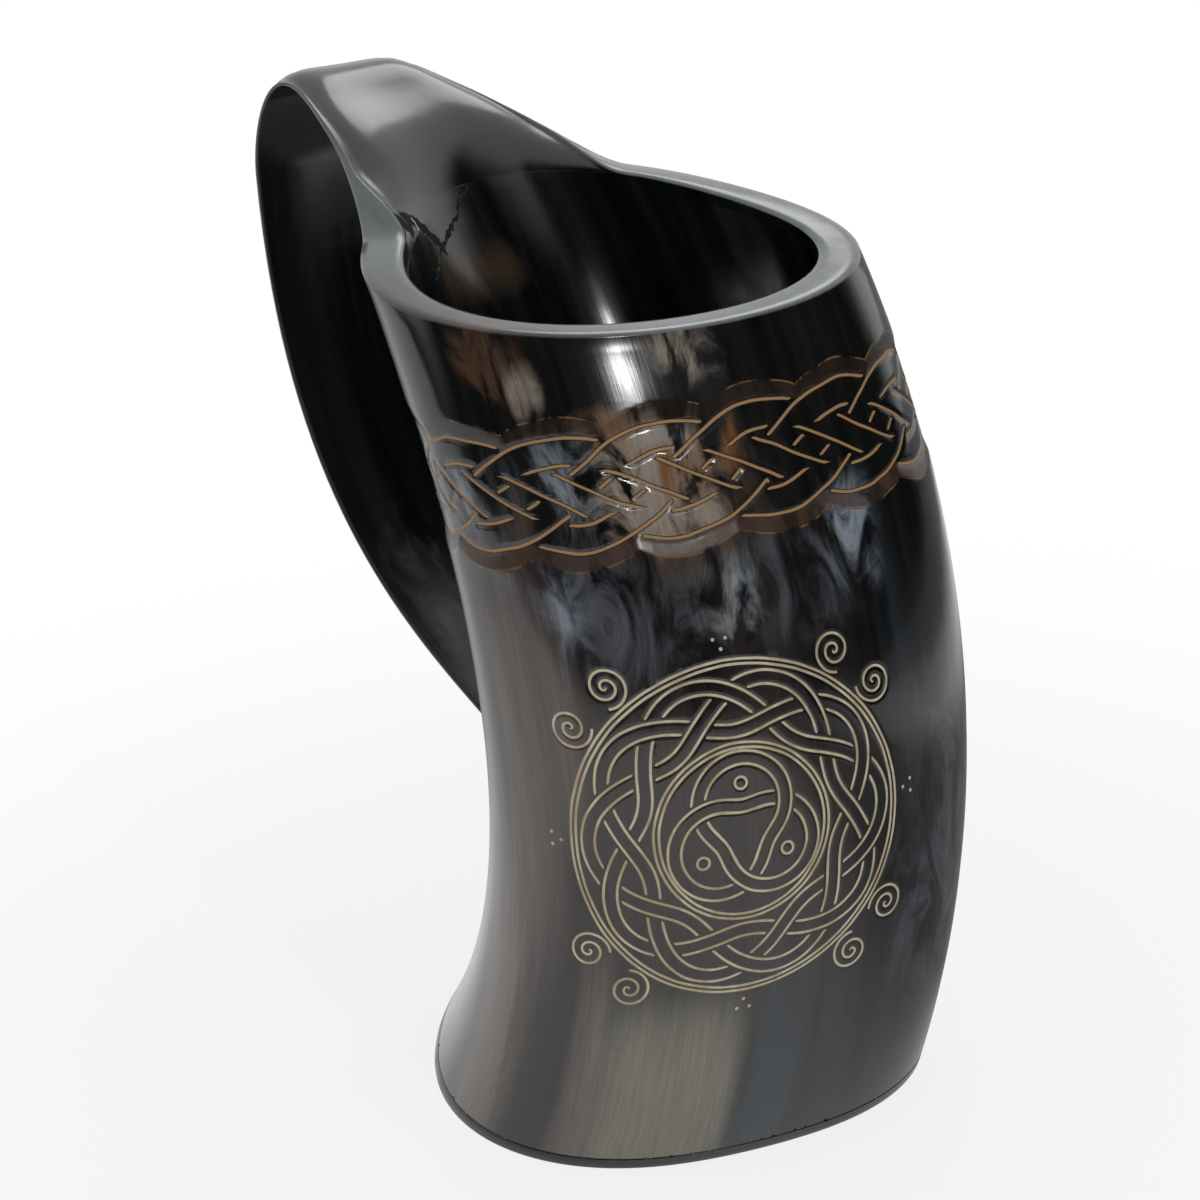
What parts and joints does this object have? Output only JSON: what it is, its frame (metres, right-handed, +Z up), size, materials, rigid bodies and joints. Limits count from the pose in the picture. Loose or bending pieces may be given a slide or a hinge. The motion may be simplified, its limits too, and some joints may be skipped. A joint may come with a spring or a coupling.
{
  "type": "horn drinking cup",
  "caption": "Tankard of natural horn that stands on its plugged wide end, with a strap handle left on the rim and bent back down to the cup.",
  "frame": {"origin": "middle of the cup's underside, on the surface that it stands on", "axes": "+Z up, -X towards the handle, +X the front, +Y the left side as seen from the handle looking to the front"},
  "size_m": [0.1537, 0.0942, 0.1748],
  "materials": {
    "horn": "polished dark horn",
    "plug": "polished dark horn",
    "glue": "dull, pale",
    "resin": "glossy, poured",
    "lining": "clear gloss over dark horn"
  },
  "bodies": {
    "root": {"horn_body": "horn", "base_plug": "plug", "base_glue": "glue", "floor_seal": "resin", "clear_lining": "lining", "tail_glue": "glue"}
  },
  "joints": []
}
